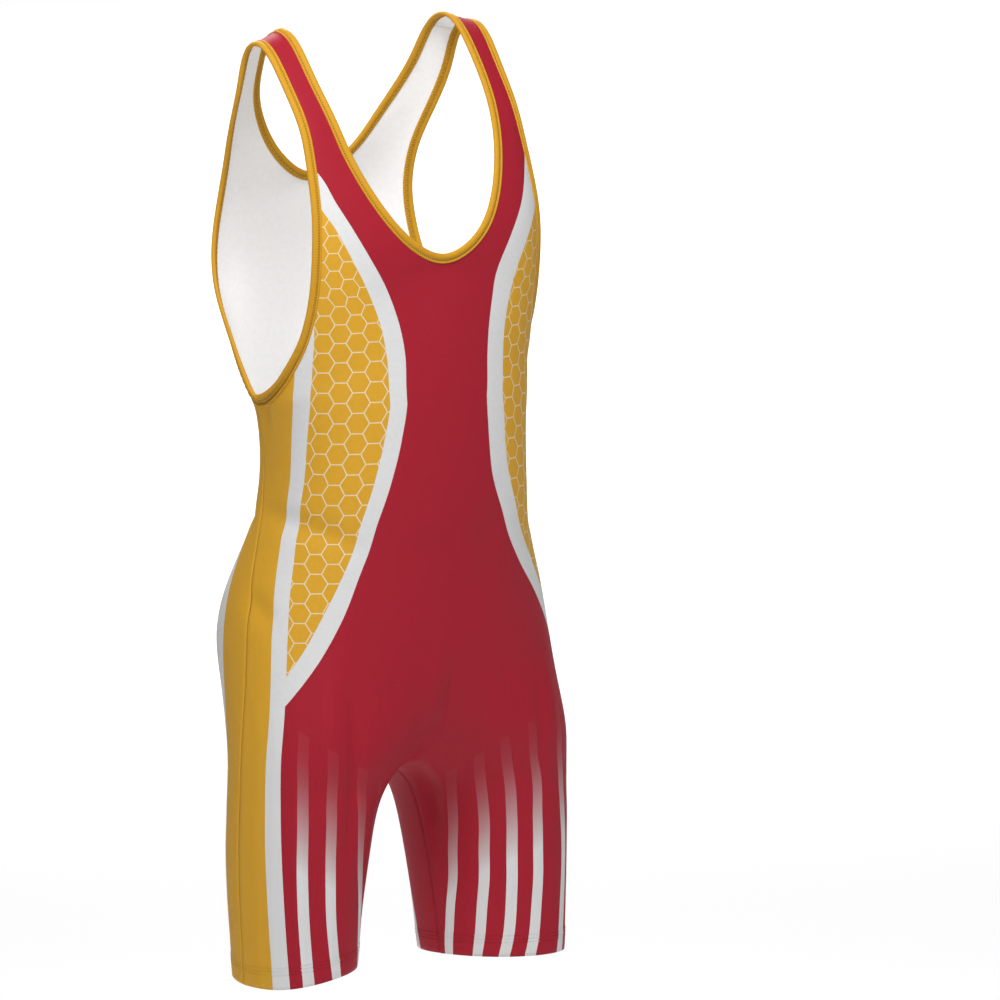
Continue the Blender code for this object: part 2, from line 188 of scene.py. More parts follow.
def lay_sheet():
    """The outer faces of both panels as one sheet. Its face layer piece is 0 in front, 1 behind."""
    skin = bmesh.new()
    piece = skin.faces.layers.int.new("piece")
    for number, name in enumerate(PANEL_NAMES):
        before = len(skin.faces)
        skin.from_mesh(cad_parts[name].data)
        skin.faces.ensure_lookup_table()
        for face in skin.faces[before:]:
            face[piece] = number
    bmesh.ops.remove_doubles(skin, verts=skin.verts, dist=WELD)
    skin.normal_update()
    walls = {face for edge in skin.edges if crosses_wall(edge) for face in edge.link_faces}
    bmesh.ops.delete(skin, geom=[f for f in skin.faces if f in walls], context="FACES")
    shells, left = [], set(skin.faces)
    while left:
        shells.append(island_of(next(iter(left))))
        left -= shells[-1]
    shells.sort(key=lambda shell: sum(face.calc_area() for face in shell))
    outer = {next(iter(shell))[piece]: shell for shell in shells}      # the largest of each
    inner = [face for face in skin.faces if face not in outer[face[piece]]]
    bmesh.ops.delete(skin, geom=inner, context="FACES")
    bmesh.ops.remove_doubles(skin, verts=skin.verts, dist=SEAM_REACH)
    bmesh.ops.subdivide_edges(skin, edges=skin.edges, cuts=FINENESS, use_grid_fill=True)
    return skin


def neighbour_means(points, pairs):
    """The mean of each point's neighbours, from directed pairs of point numbers."""
    total = np.maximum(np.bincount(pairs[:, 0], minlength=len(points)), 1)
    return np.stack([np.bincount(pairs[:, 0], points[pairs[:, 1], axis], len(points)) / total
                     for axis in range(3)], axis=1)


def ease(points, edges, rims, passes, share=0.5):
    """Moves every point towards its neighbours; open edges only along themselves."""
    on_rim = np.zeros(len(points), bool)
    on_rim[rims.ravel()] = True
    both = np.concatenate((edges, edges[:, ::-1]))
    pairs = np.concatenate((both[~on_rim[both[:, 0]]], rims, rims[:, ::-1]))
    for _ in range(passes):
        points = points + share * (neighbour_means(points, pairs) - points)
    return points


def eased_points(skin):
    """The sheet's points with the edges of its openings rounded and its faceting gone."""
    skin.verts.index_update()
    points = np.array([v.co for v in skin.verts])
    edges = np.array([[v.index for v in e.verts] for e in skin.edges])
    rims = np.array([[v.index for v in e.verts] for e in skin.edges if e.is_boundary])
    upper = rims[points[rims[:, 0], 2] > STRAP_FOOT]
    ends = np.concatenate((upper, upper[:, ::-1]))
    rounded = points.copy()
    for share in ROUNDING:
        rounded[upper.ravel()] += share * (neighbour_means(rounded, ends) - rounded)[upper.ravel()]
    for middle, reach, pull in EDGE_PULLS:
        away = np.stack((np.abs(rounded[:, 0]), rounded[:, 1], rounded[:, 2]), axis=1) / MM - middle
        share = np.exp(-(away ** 2).sum(axis=1) / reach ** 2)
        rounded += share[:, None] * np.array(pull) * MM
    return ease(rounded, edges, rims, EASING)


sheet = lay_sheet()
for vertex, place in zip(sheet.verts, eased_points(sheet)):
    vertex.co = place
sheet.normal_update()

# --- Distances along the cloth -------------------------------------------------------------
# The colours are dyed into the flat cloth before it is sewn, so they are set out along the
# cloth: how far a point is round the body from the side seam, or from the middle of the chest
# or back, and its height. Creases are set out in the same way.
SIDE_SEAM = (                          # height, then x and y of the side seam, mm
    (-334, 127, 6), (-366, 120, 9), (-402, 118, 9), (-438, 124, 8), (-472, 137, 0),
    (-513, 153, -9), (-552, 160, -14), (-598, 164, -15), (-654, 169, -12), (-708, 171, -9),
    (-768, 170, -6), (-824, 167, -4), (-857, 165.5, -3))
MIDDLE = (                             # height, then x and y of the middle of a leg or side, mm
    (-857, 112, -13), (-700, 104, -13), (-600, 62, -12), (-480, 45, -15), (0, 50, -15))
CROTCH = -640                          # mm, the height above which the middle is measured
MIDDLE_REACH = 1.5                     # mm from the middle line, within which a point is on it
LEVEL_STEP, SECTOR_STEP = 8.0, 3       # mm and degrees between the sections measured
SECTORS = np.arange(-60, 300, SECTOR_STEP)
PROFILE_EASING = 4                     # passes that even out the measured sections


def drawn_line(table, places, column=1):
    """A smooth line through a table's rows: its values at some places."""
    rows = np.array(sorted(table), float)
    knots, values = rows[:, 0], rows[:, column]
    slopes = np.gradient(values, knots)
    places = np.clip(places, knots[0], knots[-1])
    low = np.clip(np.searchsorted(knots, places) - 1, 0, len(knots) - 2)
    gap = knots[low + 1] - knots[low]
    t = (places - knots[low]) / gap
    return ((2 * t ** 3 - 3 * t ** 2 + 1) * values[low] + (3 * t ** 2 - 2 * t ** 3) * values[low + 1]
            + gap * ((t ** 3 - 2 * t ** 2 + t) * slopes[low] + (t ** 3 - t ** 2) * slopes[low + 1]))


def round_from_seam(points, facing):
    """Distance round the body from the side seam, mm. facing is 1 in front and -1 behind."""
    x, y, z = np.abs(points[:, 0]), points[:, 1], points[:, 2]
    seam_x, seam_y = drawn_line(SIDE_SEAM, z), drawn_line(SIDE_SEAM, z, 2)
    middle_x, middle_y = drawn_line(MIDDLE, z), drawn_line(MIDDLE, z, 2)
    turn = facing * (np.arctan2(seam_y - middle_y, seam_x - middle_x)
                     - np.arctan2(y - middle_y, x - middle_x))
    turn = (np.degrees(turn) - SECTORS[0]) % 360 + SECTORS[0]
    radius = np.hypot(x - middle_x, y - middle_y)
    first = round(z.min() / LEVEL_STEP)
    level = z / LEVEL_STEP - first
    sector = ((turn - SECTORS[0]) / SECTOR_STEP).clip(0, len(SECTORS) - 1.001)
    profile = []
    for number in range(round(level.max()) + 1):
        here = level.round() == number
        places = sector[here].round().astype(int)
        count = np.bincount(places, minlength=len(SECTORS))
        total = np.bincount(places, radius[here], len(SECTORS))
        known = count > 0
        profile.append(np.interp(SECTORS, SECTORS[known], total[known] / count[known]))
    profile = np.array(profile)
    for _ in range(PROFILE_EASING):
        for axis in (0, 1):
            ends = [(0, 0), (0, 0)]
            ends[axis] = (1, 1)
            wide = np.pad(profile, ends, mode="edge")
            profile = (np.take(wide, range(profile.shape[axis]), axis) + 2 * profile
                       + np.take(wide, range(2, profile.shape[axis] + 2), axis)) / 4
    steps = np.hypot(np.diff(profile), (profile[:, 1:] + profile[:, :-1]) / 2
                     * math.radians(SECTOR_STEP))
    run = np.concatenate((np.zeros((len(profile), 1)), np.cumsum(steps, axis=1)), axis=1)
    run -= run[:, [list(SECTORS).index(0)]]
    row, column = level.clip(0, len(run) - 1.001).astype(int), sector.astype(int)
    down, over = level.clip(0, len(run) - 1.001) - row, sector - column
    return ((1 - down) * ((1 - over) * run[row, column] + over * run[row, column + 1])
            + down * ((1 - over) * run[row + 1, column] + over * run[row + 1, column + 1]))


def round_from_middle(points, from_seam):
    """Distance round the body from the middle of the chest or back, mm, positive on the left."""
    centre = np.flatnonzero((np.abs(points[:, 0]) < MIDDLE_REACH) & (points[:, 2] > CROTCH))
    centre = centre[np.argsort(points[centre, 2])]
    half = np.interp(points[:, 2], points[centre, 2], from_seam[centre])
    return np.sign(points[:, 0]) * (half - from_seam)


piece_layer = sheet.faces.layers.int["piece"]
points = np.array([v.co for v in sheet.verts]) / MM
laid_out = {}                          # each panel's points, and both distances
for number, name in enumerate(PANEL_NAMES):
    ours = np.array([any(f[piece_layer] == number for f in v.link_faces) for v in sheet.verts])
    from_seam, from_middle = np.zeros((2, len(points)))
    from_seam[ours] = round_from_seam(points[ours], 1 - 2 * number)
    from_middle[ours] = round_from_middle(points[ours], from_seam[ours])
    laid_out[name] = ours, from_seam, from_middle

# --- Seams, hems and creases ---------------------------------------------------------------
# The panels are joined by flat overlocked seams, a groove with the pressed allowance beside it
# in front. Each leg's end is turned up inside. Worn, the smooth knit has a few soft troughs.
HEM_DEPTH = 20.0                       # mm of cloth turned up inside each leg
HEM_RISE = 0.3                         # mm that the doubled hem stands out
HEM_ROWS = (13.0, 16.2, 19.4)          # mm above the hem, where the stitches pull the cloth in
SEAM_GROOVE, SEAM_WIDTH = 0.55, 1.3    # mm
ALLOWANCE, ALLOWANCE_RISE = 4.2, 0.3   # mm
CREASES = {
    # depth (a ridge is negative), half width, then places: distance from the side seam
    # (forwards positive) or from the middle of the front or back, and height; all in mm
    "right side": (
        (3.6, 12, ((2, -436), (28, -438), (56, -442), (81, -448), (99, -455), (112, -464))),
        (3.4, 12, ((-4, -511), (8, -515), (19, -520), (32, -530))),
        (2.6, 6, ((17, -320), (18, -336), (17, -352), (16, -368))),
        (2.0, 5, ((8, -341), (24, -334), (38, -324), (52, -308))),
        (-3.4, 13, ((84, -566), (89, -600), (97, -632), (104, -668))),
        (4.4, 7.5, ((104, -590), (112, -612), (119, -636), (124, -667), (124, -705),
                    (121, -728), (116, -750))),
        (1.8, 9, ((-52, -432), (-30, -440), (-14, -452))),
        (2.0, 10, ((-30, -350), (-37, -374), (-38, -392))),
        (3.4, 20, ((-22, -320), (-24, -348), (-22, -384))),
        (4.0, 9, ((250, -682), (241, -688), (233, -698), (229, -712), (226, -732))),
    ),
    "left side": (
        (4.0, 14, ((-10, -430), (14, -432), (40, -436), (62, -443), (84, -456))),
        (3.0, 11, ((2, -516), (18, -525), (34, -533))),
        (2.4, 6, ((15, -324), (16, -342), (13, -362))),
        (-1.4, 11, ((90, -584), (96, -612), (102, -650))),
        (1.6, 7, ((108, -596), (117, -622), (123, -655), (125, -694), (121, -722))),
        (2.0, 10, ((-34, -352), (-40, -376), (-38, -400))),
        (3.0, 20, ((-22, -322), (-24, -350), (-22, -386))),
        (5.0, 9, ((252, -680), (241, -687), (233, -697), (229, -711), (226, -730),
                  (224, -762))),
        (-1.4, 5, ((238, -668), (226, -681), (216, -694), (211, -712), (210, -738))),
    ),
    "front": (
        (2.0, 3.2, ((2, -578), (1, -592), (0, -606), (-2, -620))),
        (-2.2, 11, ((-16, -556), (-15, -582), (-15, -606), (-12, -630))),
        (1.2, 5, ((-6, -629), (-20, -634), (-34, -640))),
        (1.2, 5, ((-60, -583), (-64, -592), (-68, -602))),
        (1.0, 4, ((56, -590), (63, -604))),
        (0.7, 12, ((-72, -462), (-30, -470), (14, -468), (66, -458))),
        (1.0, 14, ((52, -400), (46, -440), (34, -480), (26, -520))),
    ),
    "back": (
        (2.6, 8, ((1, -512), (0, -540), (-1, -575), (0, -618))),
        (3.0, 13, ((76, -592), (96, -612), (114, -632), (132, -648))),
        (2.7, 12, ((-74, -596), (-92, -613), (-112, -635), (-127, -648))),
        (0.9, 10, ((-70, -440), (-24, -449), (30, -448), (74, -438))),
    ),
}
SPOTS = 64                             # places at which a crease's line is worked out
CREASE_TAPER = 0.7                     # less is blunter at a crease's ends


def tree_of(places):
    """A search tree of places."""
    tree = KDTree(len(places))
    for number, place in enumerate(places):
        tree.insert(place, number)
    tree.balance()
    return tree


def crease_depths(across, height, half_width, places):
    """How much of a crease's depth each point of the cloth takes: soft sides, tapered ends."""
    rows = [(number, *place) for number, place in enumerate(places)]
    spots = np.linspace(0, len(places) - 1, SPOTS)
    line = np.stack((drawn_line(rows, spots), drawn_line(rows, spots, 2)), axis=1)
    depth = np.zeros(len(across))
    low, high = line.min(axis=0) - 3 * half_width, line.max(axis=0) + 3 * half_width
    near = (across > low[0]) & (across < high[0]) & (height > low[1]) & (height < high[1])
    away = np.hypot(across[near, None] - line[:, 0], height[near, None] - line[:, 1])
    taper = np.sin(np.pi * (np.arange(SPOTS) + 0.5) / SPOTS) ** CREASE_TAPER
    depth[near] = (np.exp(-(away / half_width) ** 2) * taper).max(axis=1)
    return depth


in_front, round_side, _ = laid_out["front_panel"]
round_side = np.where(in_front, round_side, -laid_out["back_panel"][1])
seams = runs_of([e for e in sheet.edges if len({f[piece_layer] for f in e.link_faces}) == 2])
openings = open_loops(sheet)
hems = [loop for loop in openings if max(v.co.z for v in loop) < STRAP_FOOT]
seam_tree = tree_of([v.co / MM for run in seams for v in run])
hem_tree = tree_of([v.co / MM for loop in hems for v in loop])
above_hem = np.array([hem_tree.find(place)[2] for place in points])
from_join = np.array([seam_tree.find(place)[2] for place in points])
relief = HEM_RISE * np.clip(HEM_DEPTH + 0.5 - above_hem, 0, 1)
relief -= SEAM_GROOVE * np.exp(-(from_join / SEAM_WIDTH) ** 2)
relief += ALLOWANCE_RISE * in_front * np.clip(ALLOWANCE + 0.5 - from_join, 0, 1)
for where, creases in CREASES.items():
    if where.endswith("side"):
        across, ours = round_side, (points[:, 0] < 0) == (where == "right side")
    else:
        across, ours = laid_out[where + "_panel"][2], in_front == (where == "front")
    for depth, half_width, places in creases:
        relief -= depth * ours * crease_depths(across, points[:, 2], half_width, places)
for vertex, rise in zip(sheet.verts, relief):
    vertex.co += vertex.normal * float(rise) * MM
sheet.normal_update()
skin_tree = BVHTree.FromBMesh(sheet)
sheet_tree = tree_of([v.co / MM for v in sheet.verts])
seam_lines, edge_lines, hem_lines = (
    [np.array([v.co for v in run]) / MM for run in runs] for runs in (seams, openings, hems))

# --- Front and back panels -----------------------------------------------------------------
# Smooth polyester and elastane knit, a thin cloth with its colours dyed in on the outside and
# left white inside. Yellow down the sides, a white line beside it, red over the middle.
KNIT_THICKNESS = 0.8                   # mm
WALE, COURSE = 1.4, 1.0                # mm from loop to loop as drawn
KNIT_BUMP = (0.35, 0.00008, 0.1)       # strength, height in m and filter width
DYE_NOISE, DARKEST_DYE = (0.22, 3.0), 0.955   # patches in a mm and octaves; share of the colour
HEM_WAVE, ROW_MARGIN = 5.0, 1.6        # the ridges' height in loops, and how far they reach, mm
YELLOW_EDGE = {                        # height, then distance from the side seam, mm
    "front_panel": (
        (0, -200), (-250, 76), (-306, 68), (-338, 58.6), (-366, 53.4), (-403, 48), (-430, 43),
        (-452, 38), (-479, 34), (-505, 32), (-553, 31), (-589, 32.5), (-634, 36), (-688, 37.5),
        (-752, 39.3), (-806, 41.3), (-857, 43.5)),
    "back_panel": (
        (0, -200), (-250, 22), (-290, 27), (-334, 30), (-366, 32), (-402, 34), (-438, 36), (-472, 40),
        (-500, 44), (-548, 46), (-600, 46), (-632, 44), (-660, 41), (-700, 38), (-760, 37),
        (-857, 36)),
}
RED_EDGE = {                           # the far edge of the white line beside the yellow
    "front_panel": (
        (0, -180), (-250, 97), (-300, 87), (-337, 77), (-369, 71.6), (-401, 66.5), (-429, 61),
        (-451, 56), (-478, 51.8), (-500, 49), (-530, 47.4), (-562, 46.8), (-597, 48.5), (-633, 51.5),
        (-687, 54), (-751, 56.7), (-805, 58.7), (-857, 61)),
    "back_panel": (
        (0, -180), (-250, 37), (-290, 42), (-334, 45), (-366, 47), (-402, 49), (-438, 51), (-472, 55),
        (-500, 62), (-528, 70), (-552, 74), (-580, 68), (-606, 61), (-632, 58), (-660, 56),
        (-700, 53), (-760, 52), (-857, 51)),
}
CHEST_CURVE = {                        # height, then the white curve's outer and inner edge, mm
    -1: (
        (0, -200, -200), (-100, 60, 70), (-127, 99, 104), (-150, 106, 122), (-172, 123.5, 139),
        (-202, 140, 157.5), (-232, 151.5, 171), (-258, 157, 175.5), (-289, 157, 175),
        (-317, 153.4, 170), (-347, 148.8, 165.2), (-374, 142.6, 159), (-401, 134.2, 150.2),
        (-428, 125.4, 140.8), (-455, 113.8, 128.4), (-488, 97.6, 113), (-525, 78.2, 97.6),
        (-553, 62.6, 82.6), (-577, 47, 67.6), (-602, 30, 49.4), (-640, 0, 15), (-860, -100, -100)),
    1: (
        (0, -200, -200), (-100, 60, 70), (-126, 84, 100), (-165, 106, 135.6), (-193, 132.8, 161),
        (-219, 150.6, 177), (-248, 159, 182.6), (-274, 163.4, 185.6), (-300, 163.2, 185.6),
        (-328, 162.3, 184), (-354, 160.2, 183.2), (-376, 158.8, 181.4), (-413, 150, 173.6),
        (-450, 130, 153.6), (-492, 95, 121.6), (-523, 68, 92.4), (-548, 48, 72), (-575, 28, 54),
        (-600, 10, 40), (-640, -20, 10), (-860, -100, -100)),
}
WAIST_BAND = {                         # distance from the side seam, then height, mm
    "red_above": (
        (40, -330), (47, -352), (50, -368), (54, -390), (58, -397), (62, -402), (67, -407),
        (72, -410.5), (78, -413.5), (84, -415.2), (90, -416.3), (96, -417), (104, -417.2),
        (112, -417), (124, -415.8), (138, -413.5), (200, -408)),
    "yellow_above": (
        (40, -375), (50, -392), (54, -398), (58, -403.5), (62, -408), (67, -412.6), (72, -416),
        (78, -419), (84, -421.2), (90, -422.8), (96, -423.6), (104, -424), (112, -424), (124, -422.8),
        (138, -420), (200, -414)),
    "yellow_below": (
        (50, -575), (60, -558), (66, -549), (70.4, -541), (82, -521), (92.5, -505), (101.5, -492.5),
        (112, -483), (123, -478), (138, -476.5), (162, -477.6), (200, -477)),
    "red_below": (
        (50, -595), (57, -579), (64, -565), (79.7, -541), (90.3, -522), (101.5, -505), (111, -493.5),
        (122, -486), (137, -483.3), (157, -484.5), (200, -485.5)),
}
BACK_STRIPES = ((-600, 65, 92, 119, 146), (-870, 65, 92, 119, 146))
LEG_STRIPES = {                        # height, then the stripes' distances from the side seam, mm
    ("front_panel", -1): (
        (-600, 67, 95, 128, 158, 186), (-628, 70.8, 97.5, 130, 160, 188),
        (-665, 74, 101.3, 133.5, 163, 190), (-705, 75.5, 101.8, 137.5, 166, 193),
        (-760, 75.4, 101.4, 140.3, 168, 195), (-790, 75.6, 101.3, 145.5, 171, 197),
        (-842, 77.5, 104.6, 149, 174, 199), (-870, 78, 106, 150, 175, 200)),
    ("front_panel", 1): (
        (-600, 90, 139, 172, 200, 216), (-638, 93.5, 134.5, 168, 193, 212),
        (-665, 95.2, 132, 161, 186.5, 210), (-690, 91, 124.8, 153, 179.5, 207),
        (-730, 88.4, 123.6, 148.6, 173.8, 204), (-757, 85.5, 121.9, 146.9, 172.3, 203.6),
        (-785, 84.2, 119.4, 144.2, 169.8, 201.6), (-812, 84.5, 119.1, 142.9, 169.9, 202.7),
        (-870, 86, 120, 143.5, 169, 202)),
    ("back_panel", -1): BACK_STRIPES, ("back_panel", 1): BACK_STRIPES,
}
HALF_STRIPE = 5.1                      # mm
STRIPE_FADE, FADE_POWER = (0.0, 126.0), 2.4   # mm below its top from start to white, and how late
STRIPE_START = (2.0, 0.015)            # how soon, in mm, and how strongly its top edge shows
BACK_TOP = ((40, -618), (65, -629), (91, -640), (117.5, -650), (144, -665), (170, -680), (230, -715))
LEG_STRIPE_TOP = {                     # distance from the side seam, then height, mm
    ("front_panel", -1): (
        (40, -607), (71, -626), (98, -641), (133, -660), (160, -676), (190, -694), (240, -725)),
    ("front_panel", 1): (
        (60, -614), (92, -626), (134, -637), (166, -650), (187, -664), (209, -681), (250, -712)),
    ("back_panel", -1): BACK_TOP, ("back_panel", 1): BACK_TOP,
}


RED, YELLOW, WHITE = linear("#9F1B2C"), linear("#D09C2C"), linear("#D4D4D4")
OLIVE_YELLOW = linear("#CBA443")       # the waist band's yellow
PALE_LINE, PINK_LINE = linear("#DACCAC"), linear("#DDA4AC")
INSIDE_WHITE = linear("#FAFAFA")
FRONT_PITCH, WAIST_PITCH, UPPER_PITCH, SEAT_PITCH = 18.6, 11.6, 22.9, 20.0   # mm across the flats
FRONT_CELL, UPPER_CELL, SEAT_CELL = (-128.3, -312.2), (8.0, -146.3), (35.0, -492.0)  # one cell each
FRONT_LINE, WAIST_LINE = 0.5, 0.45     # half the width of the lines between cells, mm
OUTLINE = (0.75, 0.38)                 # a faded cell's: mm inside the cell, and half its width
WAIST_FADE = (40.0, 135.0, 0.85, 0.3)  # mm from the middle, and how strong the lines are there
SEAT_FADE = (-530.0, -488.0, 0.0, 0.3)   # two heights, and how strong the cells are there
UPPER_FADE = (-430.0, -120.0, 0.22, 0.8)
SEAT_COLUMNS, UPPER_COLUMNS = (25.0, 112.0), (-2.0, 82.0)   # where whole cells show, mm across
FRONT_CELLS = (                        # height, then the cells' own height, their scale across
    (0, 45, 1.25, -33), (-183, -168.5, 1.25, -32.4), (-215, -206, 1.25, -32),        # and lead
    (-231, -224.5, 1.22, -27), (-240, -234.8, 1.19, -20.5), (-257, -253.9, 1.11, -10.9),
    (-274, -272.6, 1.05, -4.9), (-292, -291.7, 1.015, -0.8), (-312.2, -312.2, 1, -0.1),
    (-350, -350.1, 1, -3), (-388, -388.2, 1, -6.8), (-424, -424.4, 1, -10.3),
    (-445, -446.3, 1, -9.6), (-477, -480.3, 1, -7.8), (-500, -504.8, 1, -7),
    (-537, -544.2, 1, -6.2), (-600, -611.3, 1, -6.2))


def part_sheet(number):
    """A copy of the sheet's faces of one panel."""
    part = sheet.copy()
    layer = part.faces.layers.int["piece"]
    bmesh.ops.delete(part, geom=[f for f in part.faces if f[layer] != number], context="FACES")
    return part


def make_piece(name, mesh, slot, *materials):
    """A smooth object at the origin that rides on the body. Its slot is not used."""
    data = bpy.data.meshes.new(name)
    mesh.to_mesh(data)
    for material in materials:
        data.materials.append(material)
    data.shade_smooth()
    piece = bpy.data.objects.new(name, data)
    bpy.context.scene.collection.objects.link(piece)
    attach(piece, "root")
    return piece


def add(tree, kind, *sources, **settings):
    """Adds a node. Each source is linked, or set where it isn't a socket; None is left alone."""
    node = tree.nodes.new(kind)
    for key, value in settings.items():
        setattr(node, key, value)
    sockets = [s for s in node.inputs if s.enabled]
    for socket, source in zip(sockets, sources):
        if isinstance(source, bpy.types.NodeSocket):
            tree.links.new(source, socket)
        elif source is not None:
            socket.default_value = source
    return next(s for s in node.outputs if s.enabled)


def beside(mesh):
    """The number of the sheet's nearest point, for each point of a mesh."""
    return [sheet_tree.find(vertex.co / MM)[1] for vertex in mesh.verts]


def give_mark(mesh, mark, values):
    """Keeps a value with each point of a mesh, for its material to read."""
    layer = mesh.verts.layers.float.new(mark)
    for vertex, value in zip(mesh.verts, values):
        vertex[layer] = value


def set_out_print(mesh, name, near):
    """Gives each point of a panel its distances from the print's edges, in mm."""
    points = np.array([v.co for v in mesh.verts]) / MM
    height = points[:, 2]
    side = np.where(points[:, 0] < 0, -1, 1)
    _, from_seam, from_middle = (values[near] for values in laid_out[name])
    marks = {"past_yellow": from_seam - drawn_line(YELLOW_EDGE[name], height),
             "past_white": from_seam - drawn_line(RED_EDGE[name], height),
             "from_middle": from_middle, "across": from_middle, "up": height}
    from_stripe, top = np.zeros(len(points)), np.zeros(len(points))
    for hand in (-1, 1):
        ours, table = side == hand, LEG_STRIPES[name, hand]
        middles = [drawn_line(table, height[ours], column) for column in range(1, len(table[0]))]
        from_stripe[ours] = np.abs(from_seam[ours] - np.array(middles)).min(axis=0)
        top[ours] = drawn_line(LEG_STRIPE_TOP[name, hand], from_seam[ours])
    marks["from_stripe"], marks["below_top"] = from_stripe, top - height
    if name == "front_panel":
        scale, lead = drawn_line(FRONT_CELLS, height, 2), drawn_line(FRONT_CELLS, height, 3)
        marks["across"] = side * (np.abs(from_middle) * scale + lead)
        marks["up"] = drawn_line(FRONT_CELLS, height)
        for column, mark in enumerate(("past_curve_outer", "past_curve_inner"), 1):
            edge = np.where(side < 0, drawn_line(CHEST_CURVE[-1], height, column),
                            drawn_line(CHEST_CURVE[1], height, column))
            marks[mark] = from_seam - edge
    else:
        for mark, table in WAIST_BAND.items():
            marks[mark] = height - drawn_line(table, from_seam)
    for mark, values in marks.items():
        give_mark(mesh, mark, values)


def read_mark(tree, mark):
    return add(tree, "ShaderNodeAttribute", attribute_name=mark).node.outputs["Fac"]


def is_past(tree, mark):
    """1 past an edge of the print, 0 before it."""
    return add(tree, "ShaderNodeMath", read_mark(tree, mark), 0.0, operation="GREATER_THAN")


def laid_over(tree, share, under, over):
    """One colour laid over another by a share."""
    return add(tree, "ShaderNodeMix", share, under, over, data_type="RGBA").node.outputs[2]


def honeycomb(tree, place, pitch, cell=(0.0, 0.0)):
    """Distance inwards from the nearest cell wall, and the middle of the cell, in mm. One cell
    has its middle at the place given."""
    place = add(tree, "ShaderNodeVectorMath", place, (*cell, 0.0), operation="SUBTRACT")
    size = (math.sqrt(3) * pitch, pitch, 1.0)
    half = tuple(side / 2 for side in size)
    other = tuple(-side / 2 for side in size)
    one = add(tree, "ShaderNodeVectorMath", place, half, other, operation="WRAP")
    moved = add(tree, "ShaderNodeVectorMath", place, half, operation="ADD")
    two = add(tree, "ShaderNodeVectorMath", moved, half, other, operation="WRAP")
    lengths = [add(tree, "ShaderNodeVectorMath", way, operation="LENGTH").node.outputs["Value"]
               for way in (one, two)]
    nearer = add(tree, "ShaderNodeMath", lengths[0], lengths[1], operation="GREATER_THAN")
    inside = add(tree, "ShaderNodeMix", nearer, one, two, data_type="VECTOR")
    middle = add(tree, "ShaderNodeVectorMath", place, inside, operation="SUBTRACT")
    middle = add(tree, "ShaderNodeVectorMath", middle, (*cell, 0.0), operation="ADD")
    size_in = add(tree, "ShaderNodeVectorMath", inside, operation="ABSOLUTE")
    parts = add(tree, "ShaderNodeSeparateXYZ", size_in).node.outputs
    slant = add(tree, "ShaderNodeMath", parts["X"], math.sqrt(0.75), operation="MULTIPLY")
    slant = add(tree, "ShaderNodeMath", parts["Y"], 0.5, slant, operation="MULTIPLY_ADD")
    reach = add(tree, "ShaderNodeMath", parts["Y"], slant, operation="MAXIMUM")
    return add(tree, "ShaderNodeMath", pitch / 2, reach, operation="SUBTRACT"), middle


def print_leg_stripes(tree, ground):
    """White stripes up each leg that fade out in the red towards their slanted tops."""
    below = read_mark(tree, "below_top")
    inside = add(tree, "ShaderNodeMath", read_mark(tree, "from_stripe"), HALF_STRIPE,
                 operation="LESS_THAN")
    depth = add(tree, "ShaderNodeMapRange", below, *STRIPE_FADE, 0.0, 1.0)
    depth = add(tree, "ShaderNodeMath", depth, FADE_POWER, operation="POWER")
    start = add(tree, "ShaderNodeMapRange", below, 0.0, STRIPE_START[0], 0.0, STRIPE_START[1])
    share = add(tree, "ShaderNodeMath", start, depth, operation="ADD")
    share = add(tree, "ShaderNodeMath", share, inside, operation="MULTIPLY", use_clamp=True)
    return laid_over(tree, share, ground, WHITE)


def print_front(tree, place):
    wall, _ = honeycomb(tree, place, FRONT_PITCH, FRONT_CELL)
    line = add(tree, "ShaderNodeMath", wall, FRONT_LINE, operation="LESS_THAN")
    cells = laid_over(tree, line, YELLOW, PALE_LINE)
    colour = laid_over(tree, is_past(tree, "past_curve_outer"), cells, WHITE)
    red = print_leg_stripes(tree, RED)
    return laid_over(tree, is_past(tree, "past_curve_inner"), colour, red)


def within(tree, value, low, high):
    """1 where the value is between two limits."""
    return add(tree, "ShaderNodeMath", value, (low + high) / 2, (high - low) / 2,
               operation="COMPARE")


def times(tree, *shares):
    product = shares[0]
    for share in shares[1:]:
        product = add(tree, "ShaderNodeMath", product, share, operation="MULTIPLY")
    return product


def faded_cells(tree, place, ground, pitch, cell, columns, fade):
    """Whole cells outlined in pale pink in some columns, paler from one height to another."""
    wall, middle = honeycomb(tree, place, pitch, cell)
    outline = add(tree, "ShaderNodeMath", wall, *OUTLINE, operation="COMPARE")
    column = add(tree, "ShaderNodeSeparateXYZ", middle).node.outputs["X"]
    height = add(tree, "ShaderNodeSeparateXYZ", place).node.outputs["Y"]
    strength = add(tree, "ShaderNodeMapRange", height, *fade)
    share = times(tree, outline, within(tree, column, *columns), strength)
    return laid_over(tree, share, ground, PINK_LINE)


